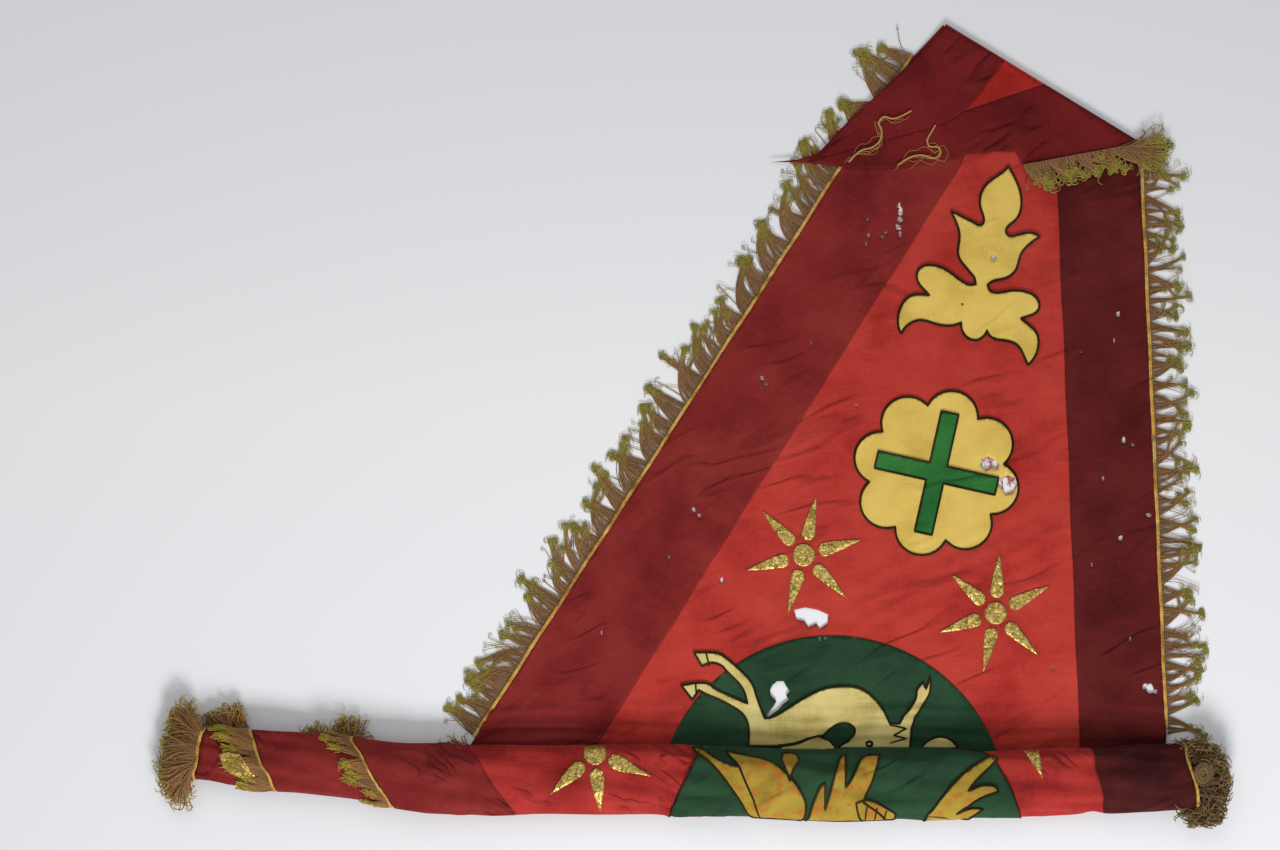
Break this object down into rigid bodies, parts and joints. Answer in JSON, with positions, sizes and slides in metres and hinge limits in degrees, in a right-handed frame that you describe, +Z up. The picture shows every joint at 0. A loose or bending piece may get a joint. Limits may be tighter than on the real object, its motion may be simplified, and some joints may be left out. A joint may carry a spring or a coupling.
{
  "type": "triangular ceremonial pennant",
  "caption": "Old red and burgundy triangular pennant with gold fringe and sewn motifs, its wide end rolled up and its tip folded over on a hinge line.",
  "frame": {"origin": "middle of the whole outline, on the surface that it lies on", "axes": "+X along the roll, +Y from the roll to the folded tip, +Z up out of the face"},
  "size_m": [1.34, 1.0096, 0.046],
  "materials": {
    "burgundy_cloth": "plain woven wool, matt",
    "red_cloth": "plain woven wool, matt",
    "gold_braid": "woven metal-thread heading, dull",
    "gold_fringe": "twisted silk bullion, olive tips",
    "green_cloth": "plain woven cotton, matt",
    "dark_cord": "couched cord, dark olive",
    "gold_foil": "gilded thin leather, crackled",
    "gold_thread": "gilt thread",
    "old_gold_cloth": "gold cloth, soiled",
    "gold_cloth": "gold cloth, matt"
  },
  "bodies": {
    "root": {"animal": "gold_cloth", "cross": "green_cloth", "field": "red_cloth", "flower": "gold_cloth", "flower_cord": "dark_cord", "half_disc": "gold_cloth", "inner_windings": "burgundy_cloth", "left_border": "burgundy_cloth", "left_end_fringe": "gold_fringe", "left_end_heading": "gold_braid", "left_fringe": "gold_fringe", "left_heading": "gold_braid", "middle_winding": "burgundy_cloth", "middle_wrap_fringe": "gold_fringe", "middle_wrap_heading": "gold_braid", "outer_wrap_fringe": "gold_fringe", "outer_wrap_heading": "gold_braid", "right_border": "burgundy_cloth", "right_end_fringe": "gold_fringe", "right_end_heading": "gold_braid", "right_fringe": "gold_fringe", "right_heading": "gold_braid", "rolled_field": "red_cloth", "rolled_hand": "old_gold_cloth", "rolled_leaf": "old_gold_cloth", "rolled_left_border": "burgundy_cloth", "rolled_palm": "old_gold_cloth", "rolled_petal": "gold_foil", "rolled_right_border": "burgundy_cloth", "rolled_roundel": "green_cloth", "rolled_star": "gold_foil", "rosette": "gold_cloth", "rosette_cord": "dark_cord", "roundel": "green_cloth", "star_left": "gold_foil", "star_right": "gold_foil"},
    "folded_tip": {"long_thread": "gold_thread", "short_thread": "gold_thread", "tip_field": "red_cloth", "tip_fringe": "gold_fringe", "tip_heading": "gold_braid", "tip_left_border": "burgundy_cloth", "tip_right_border": "burgundy_cloth", "tip_tail": "burgundy_cloth"}
  },
  "joints": [
    {"name": "tip_fold", "type": "hinge", "parent": "root", "child": "folded_tip", "pos_m": [0.314, 0.505, 0.0028], "axis": [-0.8545, 0.5195, 0], "range_deg": [0, 180]}
  ]
}
